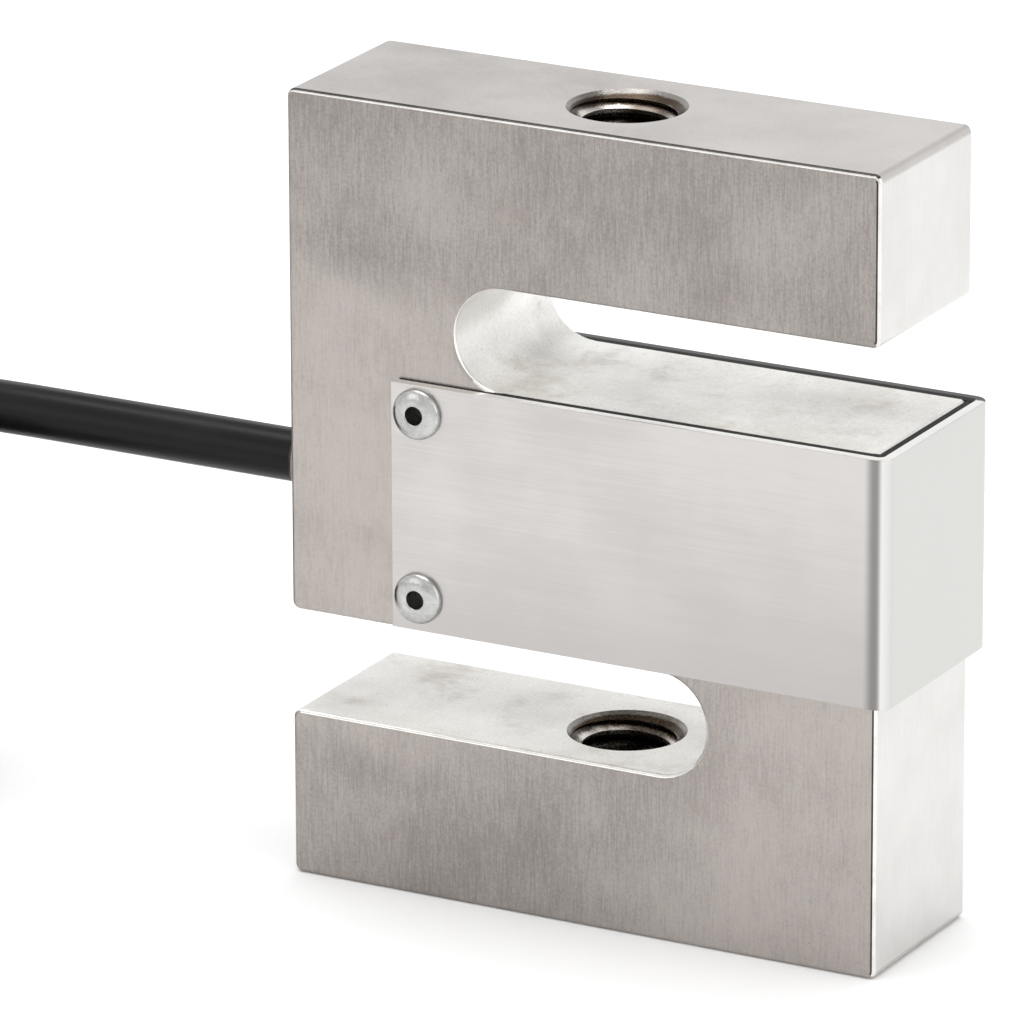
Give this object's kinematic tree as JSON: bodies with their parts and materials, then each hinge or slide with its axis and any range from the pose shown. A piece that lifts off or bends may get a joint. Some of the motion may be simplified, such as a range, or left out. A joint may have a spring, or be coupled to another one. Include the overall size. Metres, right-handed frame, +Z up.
{
  "type": "s type load cell",
  "caption": "S-shaped steel load cell with threaded ends, gauge pockets under a riveted sheet cover, and a sealed signal cable folded into a tied hank.",
  "frame": {"origin": "where the load axis meets the lower arm's end face", "axes": "+Z up the load axis, +X from the cable's end to the covered end, +Y to the rear face"},
  "size_m": [0.2295, 0.0516, 0.0755],
  "materials": {
    "block_steel": "nickel-plated alloy steel, finely ground along Z",
    "cover_steel": "satin stainless sheet, brushed along X",
    "rivet_aluminium": "bare aluminium blind rivet, slightly dull",
    "mandrel_steel": "zinc-plated steel, broken end in shadow",
    "gasket_rubber": "black sealing pad",
    "gauge_foil": "amber polyimide carrier with metal foil grid",
    "board_laminate": "green glass-epoxy laminate",
    "resistor_body": "black chip resistor on white ceramic",
    "fine_wire": "enamelled copper wire",
    "core_red": "red insulation",
    "core_green": "green insulation",
    "core_white": "white insulation",
    "core_black": "black insulation",
    "potting": "translucent white silicone",
    "sleeve_metal": "nickel-plated sleeve, dulled",
    "cable_jacket": "satin black jacket",
    "tie_nylon": "black nylon",
    "shrink": "black heat-shrink tube"
  },
  "bodies": {
    "root": {"sensing_body": "block_steel", "side_cover": "cover_steel", "gasket_front": "gasket_rubber", "gauge_front": "gauge_foil", "gauge_wires_front": "fine_wire", "potting_front": "potting", "rivet_front_upper": "rivet_aluminium", "mandrel_front_upper": "mandrel_steel", "rivet_front_lower": "rivet_aluminium", "mandrel_front_lower": "mandrel_steel", "gasket_rear": "gasket_rubber", "gauge_rear": "gauge_foil", "gauge_wires_rear": "fine_wire", "potting_rear": "potting", "rivet_rear_upper": "rivet_aluminium", "mandrel_rear_upper": "mandrel_steel", "rivet_rear_lower": "rivet_aluminium", "mandrel_rear_lower": "mandrel_steel", "terminal_board": "board_laminate", "balance_resistor": "resistor_body", "span_resistor": "resistor_body", "core_red": "core_red", "lead_red": "core_red", "core_green": "core_green", "lead_green": "core_green", "core_white": "core_white", "lead_white": "core_white", "core_black": "core_black", "lead_black": "core_black", "cable_root": "cable_jacket", "cable_sleeve": "sleeve_metal", "cable_lead": "cable_jacket", "cable_hank": "cable_jacket", "cable_tail": "cable_jacket", "hank_tie": "tie_nylon", "shrink_tube": "shrink"}
  },
  "joints": []
}
